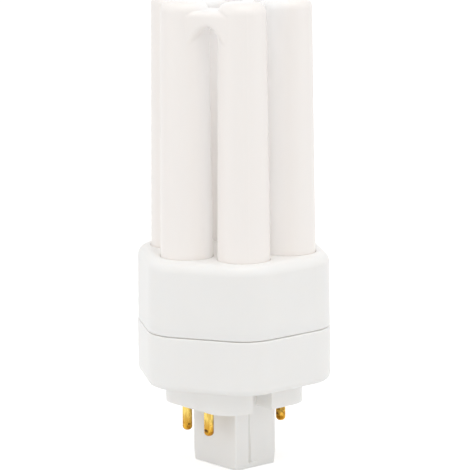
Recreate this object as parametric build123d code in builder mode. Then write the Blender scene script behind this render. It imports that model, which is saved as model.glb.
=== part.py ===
from build123d import *
import os
from math import cos, radians, sin, tan

# Plug-in LED lamp: three twin tubes on a two-part rounded hexagon housing, with a four-pin keyed plug.
# The origin is at the middle of the plug on the seat face of the collar. +Z runs up along the tubes,
# and +X runs along the long spacing of the pins.

# Driving dimensions, in millimetres and degrees

# Contact pins
pin_spacing_long = 22.6
pin_spacing_short = 8.0
pin_diameter = 2.35
pin_length = 6.3
pin_tip_radius = 1.0
pin_neck_diameter = 1.4
pin_neck_height = 1.5
pin_head_diameter = 2.0
pin_tail_diameter = 0.9
pin_tail_above_board = 0.8
pin_fit = 0.03

# Collar of the plug, with a keyway in the front and back faces
pin_edge = 1.125
collar_corner_radius = 6.8
collar_height = 6.25
seat_floor = 2.4
keyway_start = -5.7
keyway_width = 5.9

# Post of the plug, with a latch recess in the front and back faces
post_width_x = 12.6
post_width_y = 15.75
post_length = 15.2
post_wall = 2.0
latch_wall = 3.2
post_end_wall = 1.6
post_edge_radius = 0.4
post_tip_length = 3.0
post_tip_inset = 0.2
post_tip_radius = 0.3
recess_start = -2.3
recess_width = 5.4
recess_dish_top = 0.2
recess_dish_low = 0.5
groove_width_top = 0.5
groove_width_low = 1.4
groove_depth_top = 1.0
groove_depth_low = 2.2
recess_ledge = 1.3
recess_corner_radius = 3.2
recess_margin = 0.5

# Tubes
tube_count = 6
tube_diameter = 12.4
tube_gap = 1.8
tube_length = 60.3
tube_wall = 1.0
tube_draft = 0.6
tube_top_radius = 2.3
bridge_drop = 4.2
bridge_height = 3.0
bridge_depth = 8.0
bridge_blend_radius = 0.8
foot_height = 1.2
foot_gap = 0.2

# Housing shells
rim_width = 3.35
housing_wall = 1.8
lower_height = 13.05
upper_height = 18.0
floor_thickness = 2.0
top_thickness = 2.0
lower_draft = 0.25
upper_draft = 0.5
top_rim_radius = 2.5
bottom_rim_radius = 1.6
seam_gap = 0.15
seam_step = 0.1
seam_edge_radius = 0.35
socket_clearance = 0.12
socket_edge_radius = 0.15
socket_wall = 0.9
socket_depth = 4.0

# Lap joint and snap bead between the shells
tongue_thickness = 0.8
lap_height = 2.4
lap_clearance = 0.1
bead_height = 0.25
bead_width = 0.7
bead_clearance = 0.05

# Carrier plate and LED strips
plate_thickness = 1.6
plate_clearance = 0.4
boss_diameter = 6.4
carrier_screw_diameter = 2.9
carrier_screw_depth = 6.0
strip_width = 7.0
strip_thickness = 1.0
strip_headroom = 1.5
tab_width = 4.0
tab_length = 1.0
slot_clearance = 0.1
chip_count = 8
chip_width = 2.8
chip_height = 3.5
chip_thickness = 0.7
chip_pitch = 6.6

# Driver board and its standoffs
standoff_diameter = 4.6
standoff_height = 2.0
standoff_wall_gap = 1.5
board_thickness = 1.6
board_clearance = 0.4
board_screw_diameter = 2.2
board_screw_depth = 5.0
screw_fit = 0.02
screw_hole_clearance = 0.2
screw_head_ratio = 1.9
screw_head_height = 1.8
screw_head_radius = 0.6
drive_width = 0.6
drive_depth = 0.7
tail_hole_clearance = 0.15

# Parts on the driver board
capacitor_diameter = 10.0
capacitor_headroom = 2.3
capacitor_edge_radius = 0.8
capacitor_groove_radius = 0.4
capacitor_groove_lift = 2.0
capacitor_y = 10.0
core_width = 13.0
core_height = 11.5
core_depth = 6.0
core_leg = 2.6
core_centre_leg = 4.0
core_y = -8.5
winding_clearance = 0.15
winding_corner_radius = 1.2
film_width = 8.0
film_depth = 5.0
film_height = 9.0
film_edge_radius = 0.5
film_x = 11.0
film_y = 9.5
rectifier_width = 6.5
rectifier_depth = 5.0
rectifier_height = 3.0
rectifier_chamfer = 0.6
rectifier_x = -11.0
rectifier_y = 9.5
choke_diameter = 7.0
choke_height = 8.0
choke_flange = 1.2
choke_waist = 1.0
choke_x = 12.0
choke_y = -9.0
fuse_diameter = 5.0
fuse_height = 5.5
fuse_edge_radius = 0.6
fuse_y = 1.5
chip_body_width = 4.9
chip_body_depth = 3.9
chip_body_height = 1.5
chip_body_lift = 0.2
chip_lead_count = 4
chip_lead_pitch = 1.27
chip_lead_width = 0.42
chip_lead_reach = 1.05
chip_lead_thickness = 0.4
control_x = -11.5
control_y = -8.5

# Leads from the driver board to the carrier plate
lead_diameter = 1.2
lead_core_diameter = 0.6
lead_spacing = 9.2
lead_y = 2.5
lead_core_above = 0.6
lead_hole_clearance = 0.1

# Heights and radii that follow from the driving dimensions
ring_radius = tube_diameter + tube_gap
tube_radius = tube_diameter / 2
corner_radius = tube_radius + rim_width
inner_radius = corner_radius - housing_wall
floor_z = collar_height + floor_thickness
seam_z = collar_height + lower_height
upper_base_z = seam_z + seam_gap
housing_top_z = seam_z + upper_height
ceiling_z = housing_top_z - top_thickness
socket_radius = tube_radius + socket_clearance
foot_top_z = ceiling_z - socket_depth
plate_top_z = foot_top_z - foot_height
plate_bottom_z = plate_top_z - plate_thickness
tube_top_z = housing_top_z + tube_length
board_bottom_z = floor_z + standoff_height
board_top_z = board_bottom_z + board_thickness
collar_width = pin_spacing_long + pin_diameter + 2 * pin_edge
cavity_x = pin_spacing_long + pin_tail_diameter + 2 * tail_hole_clearance
cavity_y = post_width_y - 2 * post_wall
keyway_depth = (collar_width - post_width_y) / 2
recess_end_z = recess_ledge - post_length
standoff_inset = standoff_diameter / 2 + standoff_wall_gap
standoff_x = ring_radius + inner_radius - standoff_inset
standoff_y = ring_radius * cos(radians(30)) + inner_radius - standoff_inset
tongue_radius = inner_radius + tongue_thickness
bead_z = seam_z + (lap_height + seam_gap - bead_width) / 2

os.makedirs("parts", exist_ok=True)


def rounded_hexagon(corner):
    """Draws, in the open sketch, a hexagon whose corner arcs are centred on the tube axes."""
    RegularPolygon(ring_radius, tube_count)
    offset(amount=corner)


def finish(piece, name):
    """Labels a finished piece and writes it."""
    piece.part.label = name
    export_step(piece.part, f"parts/{name}.step")


# Upper housing: moulded cap with six sockets, a boss for the carrier screw and a rebate at its lower edge
with BuildPart() as upper_housing:
    with BuildSketch(Plane.XY.offset(upper_base_z)):
        rounded_hexagon(corner_radius)
    extrude(amount=upper_height - seam_gap, taper=upper_draft)
    fillet(upper_housing.faces().sort_by(Axis.Z)[-1].edges(), top_rim_radius)
    fillet(upper_housing.faces().sort_by(Axis.Z)[0].edges(), seam_edge_radius)
    with BuildSketch(Plane.XY.offset(upper_base_z)):
        rounded_hexagon(inner_radius)
    extrude(amount=ceiling_z - upper_base_z, mode=Mode.SUBTRACT)
    with BuildSketch(Plane.XY.offset(ceiling_z)):
        with PolarLocations(ring_radius, tube_count):
            Circle(socket_radius + socket_wall)
    extrude(amount=-socket_depth)
    with BuildSketch(Plane.XY.offset(ceiling_z)):
        Circle(boss_diameter / 2)
    extrude(amount=plate_top_z - ceiling_z)
    with BuildSketch(Plane.XY.offset(housing_top_z)):
        with PolarLocations(ring_radius, tube_count):
            Circle(socket_radius)
    extrude(amount=foot_top_z - housing_top_z, mode=Mode.SUBTRACT)
    socket_mouths = upper_housing.faces().sort_by(Axis.Z)[-1].edges().filter_by(GeomType.CIRCLE)
    fillet(socket_mouths, socket_edge_radius)
    with BuildSketch(Plane.XY.offset(plate_top_z)):
        Circle(carrier_screw_diameter / 2 + screw_fit)
    extrude(amount=carrier_screw_depth - plate_thickness + screw_hole_clearance, mode=Mode.SUBTRACT)
    with BuildSketch(Plane.XY.offset(upper_base_z)):
        rounded_hexagon(tongue_radius + lap_clearance)
    extrude(amount=lap_height - seam_gap, mode=Mode.SUBTRACT)
    with BuildSketch(Plane.XY.offset(bead_z - bead_clearance)):
        rounded_hexagon(tongue_radius + bead_height + lap_clearance)
    extrude(amount=bead_width + 2 * bead_clearance, mode=Mode.SUBTRACT)
finish(upper_housing, "upper_housing")

# Latch recess: the hollow cut from a face of the post, a groove that deepens downwards beside a dished face
with BuildPart() as latch_recess:
    face_y = -post_width_y / 2
    top_section = (0, groove_width_top, groove_depth_top, recess_dish_top)
    low_section = (recess_end_z, groove_width_low, groove_depth_low, recess_dish_low)
    for level, groove_width, groove_depth, dish in (top_section, low_section):
        with BuildSketch(Plane.XY.offset(level)):
            with BuildLine():
                Polyline(
                    (recess_start, face_y - recess_margin),
                    (recess_start, face_y + groove_depth),
                    (recess_start + groove_width, face_y + dish),
                    (recess_start + recess_width, face_y),
                    (recess_start + recess_width, face_y - recess_margin),
                    close=True,
                )
            make_face()
    loft()
    with BuildSketch(Plane.XZ.offset(post_width_y / 2 + recess_margin)) as recess_outline:
        with Locations((recess_start, 0)):
            Rectangle(recess_width, -recess_end_z, align=(Align.MIN, Align.MAX))
        fillet(recess_outline.vertices().group_by(Axis.Z)[0].sort_by(Axis.X)[-1], recess_corner_radius)
    extrude(amount=-recess_margin - groove_depth_low, mode=Mode.INTERSECT)

# Lower housing: one moulding of cup, collar and hollow post, with standoffs inside and a snap tongue on top
with BuildPart() as lower_housing:
    with BuildSketch(Plane.XY.offset(collar_height)):
        rounded_hexagon(corner_radius + seam_step - lower_height * tan(radians(lower_draft)))
    extrude(amount=lower_height, taper=-lower_draft)
    fillet(lower_housing.faces().sort_by(Axis.Z)[0].edges(), bottom_rim_radius)
    fillet(lower_housing.faces().sort_by(Axis.Z)[-1].edges(), seam_edge_radius)
    with BuildSketch(Plane.XY.offset(seam_z)):
        rounded_hexagon(tongue_radius)
    extrude(amount=lap_height)
    with BuildSketch(Plane.XY.offset(bead_z)):
        rounded_hexagon(tongue_radius + bead_height)
    extrude(amount=bead_width)
    with BuildSketch(Plane.XY.offset(floor_z)):
        rounded_hexagon(inner_radius)
    extrude(amount=seam_z + lap_height - floor_z, mode=Mode.SUBTRACT)

    with BuildSketch() as collar_outline:
        RectangleRounded(collar_width, collar_width, collar_corner_radius)
        keyway_x = keyway_start + keyway_width / 2
        keyway_y = collar_width / 2 - keyway_depth / 2
        with Locations((keyway_x, -keyway_y), (-keyway_x, keyway_y)):
            Rectangle(keyway_width, keyway_depth, mode=Mode.SUBTRACT)
    extrude(amount=collar_height)

    with BuildSketch():
        RectangleRounded(post_width_x, post_width_y, post_edge_radius)
    extrude(amount=post_tip_length - post_length)
    with BuildSketch(Plane.XY.offset(post_tip_length - post_length)):
        RectangleRounded(post_width_x, post_width_y, post_edge_radius)
    with BuildSketch(Plane.XY.offset(-post_length)):
        RectangleRounded(post_width_x - 2 * post_tip_inset, post_width_y - 2 * post_tip_inset, post_edge_radius)
    loft()
    fillet(lower_housing.faces().sort_by(Axis.Z)[0].edges(), post_tip_radius)
    for turn in (0, 180):
        add(latch_recess.part, rotation=(0, 0, turn), mode=Mode.SUBTRACT)

    with BuildSketch(Plane.XY.offset(seat_floor)):
        Rectangle(cavity_x, cavity_y)
    extrude(amount=floor_z - seat_floor, mode=Mode.SUBTRACT)
    with BuildSketch(Plane.XY.offset(seat_floor)):
        Rectangle(post_width_x - 2 * post_wall, post_width_y - 2 * latch_wall)
    extrude(amount=post_end_wall - post_length - seat_floor, mode=Mode.SUBTRACT)
    with BuildSketch():
        with GridLocations(pin_spacing_long, pin_spacing_short, 2, 2):
            Circle(pin_neck_diameter / 2 + pin_fit)
    extrude(amount=pin_neck_height, mode=Mode.SUBTRACT)
    with BuildSketch(Plane.XY.offset(pin_neck_height)):
        with GridLocations(pin_spacing_long, pin_spacing_short, 2, 2):
            Circle(pin_head_diameter / 2 + pin_fit)
    extrude(amount=seat_floor - pin_neck_height, mode=Mode.SUBTRACT)

    with BuildSketch(Plane.XY.offset(floor_z)):
        with Locations((standoff_x, 0), (-standoff_x, 0), (0, standoff_y), (0, -standoff_y)):
            Circle(standoff_diameter / 2)
    extrude(amount=standoff_height)
    with BuildSketch(Plane.XY.offset(board_bottom_z)):
        with Locations((standoff_x, 0), (-standoff_x, 0)):
            Circle(board_screw_diameter / 2 + screw_fit)
    extrude(amount=board_thickness - board_screw_depth - screw_hole_clearance, mode=Mode.SUBTRACT)
finish(lower_housing, "lower_housing")

# Twin tubes: two opal legs with a foot flange under the sockets, joined by a short bridge below their tops
leg_angle = 360 / tube_count
foot_radius = (ring_radius - foot_gap) / 2
for index, name in enumerate(("twin_tube_a", "twin_tube_b", "twin_tube_c")):
    first_angle = 180 + 2 * index * leg_angle
    bridge_angle = first_angle + leg_angle / 2
    with BuildPart() as twin_tube:
        with BuildSketch(Plane.XY.offset(housing_top_z)):
            with PolarLocations(ring_radius, 2, start_angle=first_angle, angular_range=leg_angle, endpoint=True):
                Circle(tube_radius)
        extrude(amount=tube_length, taper=tube_draft)
        fillet(twin_tube.faces().filter_by(Axis.Z).group_by(Axis.Z)[-1].edges(), tube_top_radius)
        with BuildSketch(Plane.XY.offset(plate_top_z)):
            with PolarLocations(ring_radius, 2, start_angle=first_angle, angular_range=leg_angle, endpoint=True):
                Circle(tube_radius)
        extrude(amount=housing_top_z - plate_top_z)
        with BuildSketch(Plane.XY.offset(plate_top_z)):
            with PolarLocations(ring_radius, 2, start_angle=first_angle, angular_range=leg_angle, endpoint=True):
                Circle(foot_radius)
        extrude(amount=foot_height)
        bridge_reach = ring_radius * cos(radians(leg_angle / 2))
        bridge_middle = Vector(bridge_reach, 0, tube_top_z - bridge_drop).rotate(Axis.Z, bridge_angle)
        bridge_normal = Vector(0, 1, 0).rotate(Axis.Z, bridge_angle)
        bridge_plane = Plane(bridge_middle, x_dir=(0, 0, 1), z_dir=bridge_normal)
        with BuildSketch(bridge_plane):
            SlotOverall(bridge_depth, bridge_height, rotation=90)
        extrude(amount=ring_radius / 2, both=True)
        bridge_seams = twin_tube.edges(Select.LAST).filter_by(GeomType.LINE, reverse=True)
        fillet(bridge_seams, bridge_blend_radius)
        with BuildSketch(Plane.XY.offset(plate_top_z)):
            with PolarLocations(ring_radius, 2, start_angle=first_angle, angular_range=leg_angle, endpoint=True):
                Circle(tube_radius - tube_wall)
        extrude(amount=housing_top_z - plate_top_z, mode=Mode.SUBTRACT)
        with BuildSketch(Plane.XY.offset(housing_top_z)):
            with PolarLocations(ring_radius, 2, start_angle=first_angle, angular_range=leg_angle, endpoint=True):
                Circle(tube_radius - tube_wall)
        extrude(amount=tube_length - tube_wall, taper=tube_draft, mode=Mode.SUBTRACT)
    finish(twin_tube, name)

# Contact pins: turned brass, shouldered on the seat face and held in the floor by a neck and head, with a tail
# up to the driver board
with GridLocations(pin_spacing_long, pin_spacing_short, 2, 2) as pin_places:
    pin_points = [place.position for place in pin_places]
for number, point in enumerate(pin_points, 1):
    with BuildPart() as contact_pin:
        with BuildSketch(Plane(point, x_dir=(1, 0, 0), z_dir=(0, -1, 0))):
            with BuildLine():
                pin_radius = pin_diameter / 2
                neck_radius = pin_neck_diameter / 2
                head_radius = pin_head_diameter / 2
                tail_radius = pin_tail_diameter / 2
                Polyline(
                    (0, -pin_length),
                    (pin_radius, -pin_length),
                    (pin_radius, 0),
                    (neck_radius, 0),
                    (neck_radius, pin_neck_height),
                    (head_radius, pin_neck_height),
                    (head_radius, seat_floor),
                    (tail_radius, seat_floor),
                    (tail_radius, board_top_z + pin_tail_above_board),
                    (0, board_top_z + pin_tail_above_board),
                    close=True,
                )
            make_face()
        revolve(axis=Axis(point, (0, 0, 1)))
        fillet(contact_pin.faces().sort_by(Axis.Z)[0].edges(), pin_tip_radius)
    finish(contact_pin, f"contact_pin_{number}")

# Carrier plate: aluminium plate under the tube feet, with a slot for each strip's tab
with BuildPart() as carrier_plate:
    with BuildSketch(Plane.XY.offset(plate_bottom_z)):
        rounded_hexagon(inner_radius - plate_clearance)
        with PolarLocations(ring_radius, tube_count):
            Rectangle(strip_thickness + 2 * slot_clearance, tab_width + 2 * slot_clearance, mode=Mode.SUBTRACT)
        Circle(carrier_screw_diameter / 2 + screw_hole_clearance, mode=Mode.SUBTRACT)
        with Locations((0, lead_y)):
            with GridLocations(lead_spacing, 0, 2, 1):
                Circle(lead_core_diameter / 2 + lead_hole_clearance, mode=Mode.SUBTRACT)
    extrude(amount=plate_thickness)
finish(carrier_plate, "carrier_plate")

# LED strips: narrow boards standing in the legs on shouldered tabs, with a row of chips facing outwards
strip_top_z = tube_top_z - tube_wall - strip_headroom
chips_z = (plate_top_z + strip_top_z) / 2
for number in range(1, tube_count + 1):
    angle = radians((number - 1) * leg_angle)
    outward = Vector(cos(angle), sin(angle), 0)
    strip_plane = Plane(outward * ring_radius, x_dir=(-sin(angle), cos(angle), 0), z_dir=outward)
    with BuildPart() as led_strip:
        with BuildSketch(strip_plane):
            with Locations((0, plate_top_z)):
                Rectangle(strip_width, strip_top_z - plate_top_z, align=(Align.CENTER, Align.MIN))
                Rectangle(tab_width, plate_thickness + tab_length, align=(Align.CENTER, Align.MAX))
        extrude(amount=strip_thickness / 2, both=True)
        with BuildSketch(strip_plane.offset(strip_thickness / 2)):
            with Locations((0, chips_z)):
                with GridLocations(0, chip_pitch, 1, chip_count):
                    Rectangle(chip_width, chip_height)
        extrude(amount=chip_thickness)
    finish(led_strip, f"led_strip_{number}")


def turned_screw(diameter, length, head_plane):
    """Makes a pan-head screw whose head seats on head_plane and whose shank runs against its normal."""
    with BuildPart() as screw:
        with BuildSketch(head_plane):
            Circle(diameter / 2 * screw_head_ratio)
        extrude(amount=screw_head_height)
        rim = screw.edges().filter_by(GeomType.CIRCLE).sort_by(Axis((0, 0, 0), head_plane.z_dir))[-1]
        fillet(rim, screw_head_radius)
        with BuildSketch(head_plane):
            Circle(diameter / 2)
        extrude(amount=-length)
        with BuildSketch(head_plane.offset(screw_head_height)):
            Rectangle(diameter, drive_width)
            Rectangle(drive_width, diameter)
        extrude(amount=-drive_depth, mode=Mode.SUBTRACT)
    return screw


# Carrier screw: clamps the plate and the tube feet against the boss of the upper housing
carrier_screw = turned_screw(
    carrier_screw_diameter, carrier_screw_depth, Plane((0, 0, plate_bottom_z), x_dir=(1, 0, 0), z_dir=(0, 0, -1))
)
finish(carrier_screw, "carrier_screw")

# Driver board: glass-fibre board on the four standoffs, drilled for the pin tails, the screws and the leads
with BuildPart() as driver_board:
    with BuildSketch(Plane.XY.offset(board_bottom_z)):
        rounded_hexagon(inner_radius - board_clearance)
        with GridLocations(pin_spacing_long, pin_spacing_short, 2, 2):
            Circle(pin_tail_diameter / 2 + tail_hole_clearance, mode=Mode.SUBTRACT)
        with Locations((standoff_x, 0), (-standoff_x, 0)):
            Circle(board_screw_diameter / 2 + screw_hole_clearance, mode=Mode.SUBTRACT)
        with Locations((0, lead_y)):
            with GridLocations(lead_spacing, 0, 2, 1):
                Circle(lead_core_diameter / 2 + lead_hole_clearance, mode=Mode.SUBTRACT)
    extrude(amount=board_thickness)
finish(driver_board, "driver_board")

# Board screws: hold the driver board on the two drilled standoffs
for number, side in enumerate((1, -1), 1):
    board_screw = turned_screw(
        board_screw_diameter, board_screw_depth, Plane((side * standoff_x, 0, board_top_z))
    )
    finish(board_screw, f"board_screw_{number}")

# Bulk capacitor: rolled can with a groove near its foot
with BuildPart() as bulk_capacitor:
    with BuildSketch(Plane((0, capacitor_y, board_top_z))):
        Circle(capacitor_diameter / 2)
    extrude(amount=plate_bottom_z - capacitor_headroom - board_top_z)
    fillet(bulk_capacitor.edges().filter_by(GeomType.CIRCLE), capacitor_edge_radius)
    groove_point = (capacitor_diameter / 2, capacitor_y, board_top_z + capacitor_groove_lift)
    with BuildSketch(Plane(groove_point, x_dir=(1, 0, 0), z_dir=(0, -1, 0))):
        Circle(capacitor_groove_radius)
    revolve(axis=Axis((0, capacitor_y, 0), (0, 0, 1)), mode=Mode.SUBTRACT)
finish(bulk_capacitor, "bulk_capacitor")

# Transformer core: ferrite with two windows either side of a centre leg
window_width = (core_width - core_centre_leg) / 2 - core_leg
window_height = core_height - 2 * core_leg
with BuildPart() as transformer_core:
    with BuildSketch(Plane((0, core_y, board_top_z), x_dir=(1, 0, 0), z_dir=(0, -1, 0))):
        Rectangle(core_width, core_height, align=(Align.CENTER, Align.MIN))
        with Locations((0, core_height / 2)):
            with GridLocations(core_centre_leg + window_width, 0, 2, 1):
                Rectangle(window_width, window_height, mode=Mode.SUBTRACT)
    extrude(amount=core_depth / 2, both=True)
finish(transformer_core, "transformer_core")

# Transformer winding: wound coil that fills the core's windows round the centre leg
winding_thickness = window_width - 2 * winding_clearance
winding_inner_x = core_centre_leg + 2 * winding_clearance
winding_inner_y = core_depth + 2 * winding_clearance
with BuildPart() as transformer_winding:
    with BuildSketch(Plane((0, core_y, board_top_z + core_leg))):
        RectangleRounded(
            winding_inner_x + 2 * winding_thickness,
            winding_inner_y + 2 * winding_thickness,
            winding_corner_radius,
        )
        Rectangle(winding_inner_x, winding_inner_y, mode=Mode.SUBTRACT)
    extrude(amount=window_height - winding_clearance)
finish(transformer_winding, "transformer_winding")

# Film capacitor: potted box
with BuildPart() as film_capacitor:
    with BuildSketch(Plane((film_x, film_y, board_top_z))):
        RectangleRounded(film_width, film_depth, film_edge_radius)
    extrude(amount=film_height)
    fillet(film_capacitor.faces().sort_by(Axis.Z)[-1].edges(), film_edge_radius / 2)
finish(film_capacitor, "film_capacitor")

# Bridge rectifier: moulded block with a bevelled top
with BuildPart() as bridge_rectifier:
    with BuildSketch(Plane((rectifier_x, rectifier_y, board_top_z))):
        Rectangle(rectifier_width, rectifier_depth)
    extrude(amount=rectifier_height)
    chamfer(bridge_rectifier.faces().sort_by(Axis.Z)[-1].edges(), rectifier_chamfer)
finish(bridge_rectifier, "bridge_rectifier")

# Choke: coil wound on a drum with a flange at each end
with BuildPart() as choke:
    with BuildSketch(Plane((choke_x, choke_y, board_top_z), x_dir=(1, 0, 0), z_dir=(0, -1, 0))):
        with BuildLine():
            choke_radius = choke_diameter / 2
            coil_radius = choke_radius - choke_waist
            Polyline(
                (0, 0),
                (choke_radius, 0),
                (choke_radius, choke_flange),
                (coil_radius, choke_flange),
                (coil_radius, choke_height - choke_flange),
                (choke_radius, choke_height - choke_flange),
                (choke_radius, choke_height),
                (0, choke_height),
                close=True,
            )
        make_face()
    revolve(axis=Axis((choke_x, choke_y, 0), (0, 0, 1)))
finish(choke, "choke")

# Fuse: small round canister
with BuildPart() as fuse:
    with BuildSketch(Plane((0, fuse_y, board_top_z))):
        Circle(fuse_diameter / 2)
    extrude(amount=fuse_height)
    fillet(fuse.faces().sort_by(Axis.Z)[-1].edges(), fuse_edge_radius)
finish(fuse, "fuse")

# Control chip: moulded body on two rows of flat leads
with BuildPart() as control_chip:
    with BuildSketch(Plane((control_x, control_y, board_top_z + chip_body_lift))):
        Rectangle(chip_body_width, chip_body_depth)
    extrude(amount=chip_body_height)
    with BuildSketch(Plane((control_x, control_y, board_top_z))):
        with GridLocations(chip_lead_pitch, 0, chip_lead_count, 1):
            Rectangle(chip_lead_width, chip_body_depth + 2 * chip_lead_reach)
    extrude(amount=chip_lead_thickness)
finish(control_chip, "control_chip")

# Leads: insulated wires from the driver board up to the carrier plate, bared where they pass through each
for number, side in enumerate((1, -1), 1):
    lead_x = side * lead_spacing / 2
    with BuildPart() as led_lead:
        with BuildSketch(Plane((lead_x, lead_y, board_top_z))):
            Circle(lead_diameter / 2)
        extrude(amount=plate_bottom_z - board_top_z)
        with BuildSketch(Plane((lead_x, lead_y, board_bottom_z - lead_core_above))):
            Circle(lead_core_diameter / 2)
        extrude(amount=plate_top_z - board_bottom_z + 2 * lead_core_above)
    finish(led_lead, f"led_lead_{number}")
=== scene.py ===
from math import cos, pi, radians, sin

import bpy
import numpy as np
from mathutils import Matrix, Vector


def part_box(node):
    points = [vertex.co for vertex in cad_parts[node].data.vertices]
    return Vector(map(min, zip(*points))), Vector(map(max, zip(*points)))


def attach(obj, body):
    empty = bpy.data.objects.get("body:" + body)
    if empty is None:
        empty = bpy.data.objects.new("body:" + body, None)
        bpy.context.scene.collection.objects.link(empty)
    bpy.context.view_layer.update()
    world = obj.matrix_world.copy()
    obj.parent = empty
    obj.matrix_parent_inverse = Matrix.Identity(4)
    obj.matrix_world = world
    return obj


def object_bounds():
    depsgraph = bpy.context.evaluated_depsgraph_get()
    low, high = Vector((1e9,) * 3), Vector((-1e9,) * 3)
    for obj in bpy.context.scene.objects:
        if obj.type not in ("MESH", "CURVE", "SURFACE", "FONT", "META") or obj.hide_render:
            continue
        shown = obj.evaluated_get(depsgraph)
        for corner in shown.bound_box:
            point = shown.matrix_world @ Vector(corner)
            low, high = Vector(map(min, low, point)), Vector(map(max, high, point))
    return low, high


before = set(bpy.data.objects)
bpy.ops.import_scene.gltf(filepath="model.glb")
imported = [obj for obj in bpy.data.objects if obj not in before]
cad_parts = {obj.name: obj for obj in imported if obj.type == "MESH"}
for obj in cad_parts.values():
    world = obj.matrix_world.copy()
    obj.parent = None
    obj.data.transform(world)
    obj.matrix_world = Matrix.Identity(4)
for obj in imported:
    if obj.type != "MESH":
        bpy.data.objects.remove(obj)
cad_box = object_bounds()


# Contact pins
# Four turned brass pins with domed ends, moulded into the seat floor of the plug. They are bright from the
# lathe, with fine tool rings and deeper gold towards the tip. The dark streaks along the shank, and the dark
# spots and near-black blotches near the tip, are painted dark reflections.
class Shade:
    """One socket of a material. Arithmetic on it adds Math nodes, and add() makes any other node."""

    def __init__(self, tree, socket=None):
        self.tree = tree
        self.socket = socket

    def add(self, kind, settings, sockets, output=0):
        """Makes a node, with its settings first and then its sockets, and returns one of its outputs."""
        node = self.tree.nodes.new(kind)
        for name, value in settings.items():
            setattr(node, name, value)
        for name, value in sockets.items():
            if isinstance(value, Shade):
                self.tree.links.new(value.socket, node.inputs[name])
            else:
                node.inputs[name].default_value = value
        return Shade(self.tree, node.outputs[output])

    def maths(self, operation, *values):
        return self.add("ShaderNodeMath", {"operation": operation}, dict(enumerate(values)))

    def __add__(self, other):
        return self.maths("ADD", self, other)

    __radd__ = __add__

    def __mul__(self, other):
        return self.maths("MULTIPLY", self, other)

    __rmul__ = __mul__

    def __sub__(self, other):
        return self.maths("SUBTRACT", self, other)

    def __rsub__(self, other):
        return self.maths("SUBTRACT", other, self)

    def __gt__(self, other):
        return self.maths("GREATER_THAN", self, other)

    def noise(self, place, size, detail=2.0, roughness=0.5):
        """Noise from 0 to 1 over a place, with blotches of about the given size in metres."""
        sockets = {"Vector": place, "Scale": 1 / size, "Detail": detail, "Roughness": roughness}
        return self.add("ShaderNodeTexNoise", {}, sockets)

    def blend(self, amount, first, second):
        """Mix of two colours."""
        return self.add("ShaderNodeMix", {"data_type": "RGBA"}, {0: amount, 6: first, 7: second}, output=2)

    def axis(self, place, letter):
        """One coordinate of a place."""
        return self.add("ShaderNodeSeparateXYZ", {}, {0: place}, output="XYZ".index(letter))

    def scaled(self, place, factors):
        """A place with each of its coordinates times its own factor."""
        return self.add("ShaderNodeVectorMath", {"operation": "MULTIPLY"}, {0: place, 1: factors})

    def ease(self, value, low, high):
        """Smooth step from 0 at low to 1 at high."""
        settings = {"interpolation_type": "SMOOTHSTEP"}
        return self.add("ShaderNodeMapRange", settings, {0: value, 1: low, 2: high, 3: 0.0, 4: 1.0})


def new_finish(name):
    """Starts a material: returns it, its surface shader, a Shade to draw with and the place on a piece."""
    material = bpy.data.materials.new(name)
    material.use_nodes = True
    surface = material.node_tree.nodes["Principled BSDF"]
    shade = Shade(material.node_tree)
    place = shade.add("ShaderNodeTexCoord", {}, {}, output="Object")
    return material, surface, shade, place


def feed(surface, **sockets):
    """Links or sets sockets of a shader, with underscores for the spaces in their names."""
    for name, value in sockets.items():
        target = surface.inputs[name.replace("_", " ")]
        if isinstance(value, Shade):
            value.tree.links.new(value.socket, target)
        else:
            target.default_value = value


def grain(shade, height, depth):
    """Normal from a height field from 0 to 1 that stands for a relief of the given depth in metres."""
    return shade.add("ShaderNodeBump", {}, {"Height": height, "Distance": depth, "Strength": 1.0})


def dress(material, *names):
    """Puts a material on CAD nodes."""
    for name in names:
        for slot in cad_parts[name].material_slots:
            slot.material = material


MM = 0.001
pin_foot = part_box("contact_pin_1")[0].z
tool_ring_pitch = 0.22 * MM
tool_ring_depth = 0.004 * MM
streak_size = 0.9 * MM
streak_draw = (1.0, 1.0, 0.2)
streak_edges = (0.42, 0.6)
streak_strength = 0.5
spot_size = 1.1 * MM
spot_edges = (0.4, 0.62)
# Size, edges and band of the near-black blotches near the tip, which are painted dark reflections.
deep_reflection_size = 1.3 * MM
deep_reflection_edges = (0.55, 0.62)
tip_fades, tip_ends = pin_foot + 0.8 * MM, pin_foot + 5.0 * MM
deep_reflection_starts, deep_reflection_full = pin_foot + 0.6 * MM, pin_foot + 1.6 * MM
shank_gold = (0.84, 0.63, 0.17, 1)
tip_gold = (0.72, 0.4, 0.05, 1)
# Brown and near-black for the painted dark reflections on the pins.
reflection_brown = (0.4, 0.17, 0.012, 1)
deep_reflection_dark = (0.07, 0.03, 0.012, 1)
bright_roughness = 0.16
dark_mark_roughness = 0.1

brass, surface, shade, place = new_finish("turned_brass")
pin_height = shade.axis(place, "Z")
tool_rings = shade.maths("SINE", pin_height * (2 * pi / tool_ring_pitch))
# Dark streaks along the shank: painted dark reflections.
streaks = shade.ease(shade.noise(shade.scaled(place, streak_draw), streak_size), *streak_edges)
# Dark spots near the tip: painted dark reflections.
spots = shade.ease(shade.noise(place, spot_size, detail=3.0), *spot_edges)
tip = 1 - shade.ease(pin_height, tip_fades, tip_ends)
# Near-black blotches just above the tip: painted dark reflections.
deep_reflection_band = shade.ease(pin_height, deep_reflection_starts, deep_reflection_full) * tip
deep_reflection = shade.ease(shade.noise(place, deep_reflection_size), *deep_reflection_edges) * deep_reflection_band
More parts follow.
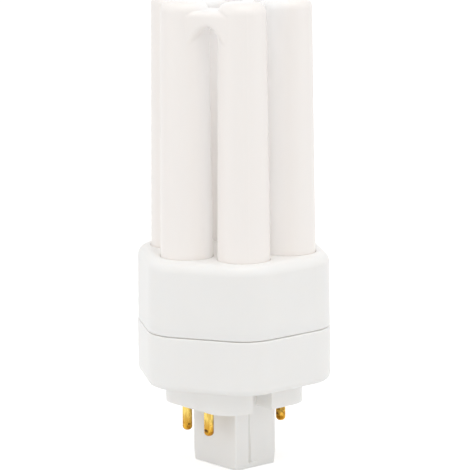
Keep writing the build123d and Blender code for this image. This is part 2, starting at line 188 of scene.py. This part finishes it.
# Where the streaks and spots are, the gold turns brown and a little rougher: painted dark reflections.
painted_reflection = shade.maths("MAXIMUM", streaks * streak_strength, spots * tip)
gold = shade.blend(tip, shank_gold, tip_gold)
gold = shade.blend(painted_reflection, gold, reflection_brown)
feed(
    surface,
    Base_Color=shade.blend(deep_reflection, gold, deep_reflection_dark),
    Metallic=1.0,
    Roughness=painted_reflection * dark_mark_roughness + bright_roughness,
    Normal=grain(shade, tool_rings, tool_ring_depth),
)
dress(brass, "contact_pin_1", "contact_pin_2", "contact_pin_3", "contact_pin_4")


# Housing shells
# Two injection mouldings in white polybutylene, snapped together over a lap joint. The tool was finely
# spark eroded, so the faces are satin, with very slight flow marks in the white.
flow_size = 14 * MM
spark_size = 0.18 * MM
spark_depth = 0.006 * MM
shell_white = (0.895, 0.885, 0.863, 1)
flow_white = (0.92, 0.911, 0.892, 1)
shell_roughness = 0.36
flow_roughness = 0.06

white, surface, shade, place = new_finish("housing_white")
flow = shade.noise(place, flow_size, detail=3.0, roughness=0.55)
spark = shade.noise(place, spark_size)
feed(
    surface,
    Base_Color=shade.blend(flow, shell_white, flow_white),
    Roughness=flow * flow_roughness + shell_roughness,
    Normal=grain(shade, spark, spark_depth),
    IOR=1.5,
    Subsurface_Weight=0.7,
    Subsurface_Radius=(1.0, 0.95, 0.9),
    Subsurface_Scale=0.8 * MM,
)
dress(white, "lower_housing", "upper_housing")


# Driver board
# Glass-fibre board with a green solder mask, held on two of the four standoffs by zinc-plated steel screws.
# The weave of the glass and the copper underneath show faintly through the mask.
weave_pitch = 0.5 * MM
weave_depth = 0.004 * MM
copper_size = 9 * MM
copper_strength = 0.5
mask_dark = (0.06, 0.24, 0.11, 1)
mask_light = (0.12, 0.38, 0.18, 1)

mask_green, surface, shade, place = new_finish("board_mask")
weave = shade.maths("SINE", shade.axis(place, "X") * (2 * pi / weave_pitch))
weave = weave * shade.maths("SINE", shade.axis(place, "Y") * (2 * pi / weave_pitch))
copper = shade.add("ShaderNodeTexBrick", {}, {"Vector": place, "Scale": 1 / copper_size}, output="Fac")
feed(
    surface,
    Base_Color=shade.blend(copper * copper_strength, mask_dark, mask_light),
    Roughness=0.34,
    Normal=grain(shade, weave, weave_depth),
)
dress(mask_green, "driver_board")

bloom_size = 0.8 * MM
zinc_dark = (0.55, 0.55, 0.57, 1)
zinc_light = (0.66, 0.66, 0.67, 1)
zinc_roughness = 0.25
bloom_roughness = 0.15

zinc, surface, shade, place = new_finish("zinc_plate")
bloom = shade.noise(place, bloom_size)
feed(
    surface,
    Base_Color=shade.blend(bloom, zinc_dark, zinc_light),
    Metallic=1.0,
    Roughness=bloom * bloom_roughness + zinc_roughness,
)
dress(zinc, "board_screw_1", "board_screw_2", "carrier_screw")


# Parts on the driver board
# A sleeved capacitor, a transformer and a choke on ferrite, a potted film capacitor, a fuse, a rectifier
# and a control chip, all soldered to the board, and the two insulated leads from it to the carrier plate.
def moulded(name, tones, roughness, blotch, relief):
    """Material with two close tones in soft blotches and a fine relief."""
    blotch_roughness = 0.1
    fine_share = 12
    material, surface, shade, place = new_finish(name)
    tone = shade.noise(place, blotch, detail=3.0)
    fine = shade.noise(place, blotch / fine_share)
    feed(
        surface,
        Base_Color=shade.blend(tone, *tones),
        Roughness=tone * blotch_roughness + roughness,
        Normal=grain(shade, fine, relief),
    )
    return material


film_tones = (0.02, 0.025, 0.05, 1), (0.05, 0.055, 0.09, 1)
film = moulded("sleeve_film", film_tones, roughness=0.25, blotch=6 * MM, relief=0.004 * MM)
dress(film, "bulk_capacitor")

ferrite_tones = (0.05, 0.05, 0.055, 1), (0.09, 0.09, 0.09, 1)
ferrite = moulded("ferrite", ferrite_tones, roughness=0.6, blotch=1.2 * MM, relief=0.02 * MM)
dress(ferrite, "transformer_core", "choke")

tape_tones = (0.62, 0.45, 0.09, 1), (0.74, 0.57, 0.16, 1)
tape = moulded("winding_tape", tape_tones, roughness=0.3, blotch=3 * MM, relief=0.006 * MM)
dress(tape, "transformer_winding")

box_tones = (0.64, 0.5, 0.1, 1), (0.74, 0.6, 0.16, 1)
potting_box = moulded("potting_box", box_tones, roughness=0.35, blotch=5 * MM, relief=0.008 * MM)
dress(potting_box, "film_capacitor")

epoxy_tones = (0.02, 0.02, 0.022, 1), (0.045, 0.045, 0.048, 1)
epoxy = moulded("epoxy_black", epoxy_tones, roughness=0.55, blotch=1.5 * MM, relief=0.01 * MM)
dress(epoxy, "bridge_rectifier", "control_chip")

fuse_tones = (0.22, 0.08, 0.05, 1), (0.3, 0.12, 0.08, 1)
fuse_brown = moulded("fuse_brown", fuse_tones, roughness=0.32, blotch=3 * MM, relief=0.005 * MM)
dress(fuse_brown, "fuse")

red_tones = (0.55, 0.05, 0.04, 1), (0.66, 0.08, 0.06, 1)
lead_red = moulded("lead_red", red_tones, roughness=0.4, blotch=2 * MM, relief=0.004 * MM)
dress(lead_red, "led_lead_1")

black_tones = (0.03, 0.03, 0.03, 1), (0.06, 0.06, 0.06, 1)
lead_black = moulded("lead_black", black_tones, roughness=0.4, blotch=2 * MM, relief=0.004 * MM)
dress(lead_black, "led_lead_2")


# Carrier plate and LED strips
# A milled aluminium plate under the tube feet, with a narrow white board standing in each tube leg on
# a tab. Each board has a row of chips on its outer face, with yellow phosphor in a white cup.
milling_size = 2.5 * MM
milling_draw = (1.0, 14.0, 1.0)
plate_dark = (0.66, 0.67, 0.68, 1)
plate_light = (0.78, 0.78, 0.79, 1)
plate_roughness = 0.3
milling_roughness = 0.15

milled, surface, shade, place = new_finish("milled_aluminium")
milling = shade.noise(shade.scaled(place, milling_draw), milling_size, detail=4.0)
feed(
    surface,
    Base_Color=shade.blend(milling, plate_dark, plate_light),
    Metallic=1.0,
    Roughness=milling * milling_roughness + plate_roughness,
)
dress(milled, "carrier_plate")

strip_count = 6
chip_height = 0.35 * MM
speck_size = 1.5 * MM
board_white = (0.95, 0.945, 0.93, 1)
phosphor = (0.94, 0.84, 0.5, 1)
strip_roughness = 0.35
speck_roughness = 0.15
for number in range(strip_count):
    name = f"led_strip_{number + 1}"
    angle = 2 * pi * number / strip_count
    low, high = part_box(name)
    strip_front = max(corner.x * cos(angle) + corner.y * sin(angle) for corner in (low, high))
    board, surface, shade, place = new_finish(f"strip_board_{number + 1}")
    reach = shade.axis(place, "X") * cos(angle) + shade.axis(place, "Y") * sin(angle)
    chip = reach > strip_front - chip_height
    speck = shade.noise(place, speck_size)
    feed(
        surface,
        Base_Color=shade.blend(chip, board_white, phosphor),
        Roughness=speck * speck_roughness + strip_roughness,
    )
    dress(board, name)


# Twin tubes
# Opal polycarbonate tubes, moulded in pairs and clamped by the carrier plate. They are satin and slightly
# warm. The side towards the other tubes is written paler, to stand for the light that opal walls pass.
ring_radius = 14.2 * MM
pale_ends, warm_starts = ring_radius - 1.5 * MM, ring_radius + 3.5 * MM
cloud_size = 22 * MM
frost_size = 0.12 * MM
frost_depth = 0.003 * MM
flat_draw = (1.0, 1.0, 0.0)
opal_warm = (0.95, 0.899, 0.864, 1)
opal_cloud = (0.957, 0.908, 0.874, 1)
opal_pale = (0.998, 0.988, 0.98, 1)
opal_roughness = 0.3
cloud_roughness = 0.05

opal, surface, shade, place = new_finish("opal_tube")
cloud = shade.noise(place, cloud_size)
frost = shade.noise(place, frost_size)
across = shade.scaled(place, flat_draw)
from_axis = shade.add("ShaderNodeVectorMath", {"operation": "LENGTH"}, {0: across}, output="Value")
outer_side = shade.ease(from_axis, pale_ends, warm_starts)
opal_tone = shade.blend(cloud, opal_warm, opal_cloud)
feed(
    surface,
    Base_Color=shade.blend(outer_side, opal_pale, opal_tone),
    Roughness=cloud * cloud_roughness + opal_roughness,
    Normal=grain(shade, frost, frost_depth),
    IOR=1.55,
    Subsurface_Weight=0.2,
    Subsurface_Radius=(0.9, 0.95, 1.0),
    Subsurface_Scale=0.4 * MM,
)
dress(opal, "twin_tube_a", "twin_tube_b", "twin_tube_c")


# Bridge webs
# Near the top the legs of a pair run into each other, in the same opal moulding. The web is flush with both
# legs in front and behind, and its foot is an arch. Its skin goes on round the legs, just inside their walls.
leg_radius = 5.59 * MM
leg_bore = 4.9 * MM
leg_rounding = 2.3 * MM
leg_spread = ring_radius / 2
leg_reach = ring_radius * cos(pi / 6)
leg_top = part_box("twin_tube_a")[1].z
skin = 0.05 * MM
web_top = 2.0 * MM
web_foot = 5.6 * MM
web_half = 5.6 * MM
web_edge = 1.2 * MM
web_drop = 15.0 * MM
arch_curve = 0.29 / MM
hollow_radius = 24.0 * MM
blend_width = 0.6 * MM
blend_half = 5.8 * MM
least_blend = 0.01
cell = 0.25 * MM
half_columns = 52
half_layers = 26
rows_above = 2
rows_below = 64

# Distances to the legs and to the web on a grid of cells, negative inside, and their soft union
sides = np.arange(-half_columns, half_columns + 1)[:, None, None] * cell
depths = np.arange(-half_layers, half_layers + 1)[None, :, None] * cell
drops = np.arange(-rows_above, rows_below)[None, None, :] * -cell
from_leg = np.hypot(leg_spread - abs(sides), depths)
past_flank = from_leg - (leg_radius - skin - leg_rounding)
past_top = drops + leg_rounding + skin
legs = np.hypot(np.maximum(past_flank, 0), np.maximum(past_top, 0)) - leg_rounding
legs = legs + np.minimum(np.maximum(past_flank, past_top), 0)
hollow_reach = ((leg_radius + hollow_radius) ** 2 - leg_spread**2) ** 0.5
past_front = abs(depths) - hollow_reach + (hollow_radius**2 - sides**2) ** 0.5
past_ceiling = drops + web_top
past_arch = (-drops - web_foot - arch_curve * sides**2) / np.hypot(1, 2 * arch_curve * sides)
web_body = np.hypot(np.maximum(past_front + web_edge, 0), np.maximum(past_ceiling + web_edge, 0))
web_body = np.hypot(web_body, np.maximum(past_arch + web_edge, 0)) - web_edge
web_body = web_body + np.minimum(np.maximum(np.maximum(past_front, past_ceiling), past_arch) + web_edge, 0)
web_body = np.maximum(web_body, abs(sides) - web_half)
softness = blend_width * np.maximum(1 - (sides / blend_half) ** 2, least_blend)
overlap = np.maximum(1 - abs(legs - web_body) / softness, 0)
field = np.minimum(legs, web_body) - overlap**2 * softness / 4
field = np.maximum(np.maximum(field, leg_bore - from_leg), -drops - web_drop)

# One point per cell that the skin passes through, at the mean of its crossings, and one face per crossed edge
crossings = np.zeros([count - 1 for count in field.shape] + [4])
crossed_edges = []
for axis in range(3):
    first = np.take(field, range(field.shape[axis] - 1), axis)
    second = np.take(field, range(1, field.shape[axis]), axis)
    crossed = np.argwhere((first < 0) != (second < 0))
    share = first[tuple(crossed.T)] / (first - second)[tuple(crossed.T)]
    place_on_edge = crossed.astype(float)
    place_on_edge[:, axis] += share
    one, two = [other for other in range(3) if other != axis]
    cells_round = []
    for back_one, back_two in ((1, 1), (0, 1), (0, 0), (1, 0)):
        beside = crossed.copy()
        beside[:, one] -= back_one
        beside[:, two] -= back_two
        cells_round.append(beside)
        np.add.at(crossings, tuple(beside.T), np.c_[place_on_edge, np.ones(len(crossed))])
    outward_first = (first[tuple(crossed.T)] < 0) == (axis != 1)
    crossed_edges.append((np.stack(cells_round, 1), outward_first))
used = np.argwhere(crossings[..., 3] > 0)
numbers = np.full(crossings.shape[:3], -1)
numbers[tuple(used.T)] = np.arange(len(used))
skin_points = crossings[tuple(used.T)]
skin_points = skin_points[:, :3] / skin_points[:, 3:]
skin_faces = []
for cells_round, outward_first in crossed_edges:
    quads = numbers[cells_round[..., 0], cells_round[..., 1], cells_round[..., 2]]
    skin_faces += np.where(outward_first[:, None], quads, quads[:, ::-1]).tolist()

pair_letters = "abc"
for number, letter in enumerate(pair_letters):
    turn = pi + 2 * pi * number / len(pair_letters) + pi / 6
    outward = Vector((cos(turn), sin(turn), 0))
    sideways = Vector((-sin(turn), cos(turn), 0))
    points = []
    for column, layer, row in skin_points.tolist():
        point = outward * (leg_reach + (layer - half_layers) * cell)
        point += sideways * (column - half_columns) * cell
        point += Vector((0, 0, leg_top - (row - rows_above) * cell))
        points.append(point)
    web_mesh = bpy.data.meshes.new(f"bridge_web_{letter}")
    web_mesh.from_pydata(points, [], skin_faces)
    web_mesh.shade_smooth()
    web_mesh.materials.append(opal)
    web = bpy.data.objects.new(f"bridge_web_{letter}", web_mesh)
    bpy.context.scene.collection.objects.link(web)
    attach(web, "root")


# Floor
# A plain sheet of pale paper under the lamp. It is seen as white where it is lit, and keeps the lamp's soft
# shadow. It lies a hair below the post, so that the two faces don't meet.
def seen_directly(shade):
    """1 for a ray from the camera, a reflection or a transmission, and 0 for light between surfaces."""
    kinds = ("Is Camera Ray", "Is Glossy Ray", "Is Transmission Ray")
    straight, mirrored, passed = [shade.add("ShaderNodeLightPath", {}, {}, output=kind) for kind in kinds]
    return straight + mirrored + passed


floor_half = 3.0
floor_z = cad_box[0].z - 0.02 * MM
floor_glow = 0.42
fibre_size = 2 * MM
paper_tone = (0.8, 0.8, 0.8, 1)
fibre_tone = (0.82, 0.82, 0.82, 1)

floor_mesh = bpy.data.meshes.new("floor")
floor_corners = [(-1, -1), (1, -1), (1, 1), (-1, 1)]
floor_points = [(x * floor_half, y * floor_half, floor_z) for x, y in floor_corners]
floor_mesh.from_pydata(floor_points, [], [(0, 1, 2, 3)])
floor = bpy.data.objects.new("floor", floor_mesh)
bpy.context.scene.collection.objects.link(floor)
paper, surface, shade, place = new_finish("floor_paper")
fibre = shade.noise(place, fibre_size)
feed(surface, Base_Color=shade.blend(fibre, paper_tone, fibre_tone), Roughness=0.9)
glow_strength = seen_directly(shade) * floor_glow
glow = shade.add("ShaderNodeEmission", {}, {"Color": (1, 1, 1, 1), "Strength": glow_strength})
both = shade.add("ShaderNodeAddShader", {}, {0: Shade(shade.tree, surface.outputs[0]), 1: glow})
feed(shade.tree.nodes["Material Output"], Surface=both)
floor_mesh.materials.append(paper)


# Studio
# A white tent round the lamp, with a large soft light above it and one from each side.
# The tent is white where it is seen, and gives a little less light than that.
tent_level = 0.76
world = bpy.data.worlds.new("tent")
world.use_nodes = True
bpy.context.scene.world = world
sky = Shade(world.node_tree)
tent_glow = seen_directly(sky) * (1 - tent_level) + tent_level
feed(world.node_tree.nodes["Background"], Color=(1, 1, 1, 1), Strength=tent_glow)

middle = (cad_box[0] + cad_box[1]) / 2
light_distance = 0.9


def soft_light(name, direction, size, power):
    """Square area light in a direction from the lamp's middle, facing it."""
    light = bpy.data.lights.new(name, "AREA")
    light.size = size
    light.energy = power
    holder = bpy.data.objects.new(name, light)
    bpy.context.scene.collection.objects.link(holder)
    holder.location = middle + Vector(direction).normalized() * light_distance
    holder.rotation_euler = (middle - holder.location).to_track_quat("-Z", "Y").to_euler()


soft_light("top_light", direction=(-0.1, -0.25, 1.0), size=0.8, power=2.2)
soft_light("left_light", direction=(-1.0, 0.25, 0.3), size=0.7, power=0.95)
soft_light("right_light", direction=(0.6, -1.0, 0.3), size=0.7, power=0.85)


# Camera
# A long lens at the photograph's viewing angle, a little above the lamp and looking slightly down.
# Light may bounce often, because the pale tubes pass it on among themselves.
azimuth = radians(-40.27)
camera_distance = 800.0 * MM
camera_height = 199.23 * MM
pitch = radians(11.242)
roll = radians(-0.4445)
yaw = radians(-0.037)
focal_pixels = 3429.8
image_pixels = 470
light_bounces = 32

camera = bpy.data.objects.new("camera", bpy.data.cameras.new("camera"))
bpy.context.scene.collection.objects.link(camera)
bpy.context.scene.camera = camera
camera.data.lens = focal_pixels / image_pixels * camera.data.sensor_width
camera.location = (camera_distance * sin(azimuth), -camera_distance * cos(azimuth), camera_height)
aim = Matrix.Rotation(azimuth + yaw, 4, "Z")
aim = aim @ Matrix.Rotation(pi / 2 - pitch, 4, "X")
aim = aim @ Matrix.Rotation(roll, 4, "Z")
camera.rotation_euler = aim.to_euler()
bpy.context.scene.view_settings.view_transform = "Standard"
bpy.context.scene.cycles.max_bounces = light_bounces
bpy.context.scene.cycles.diffuse_bounces = light_bounces
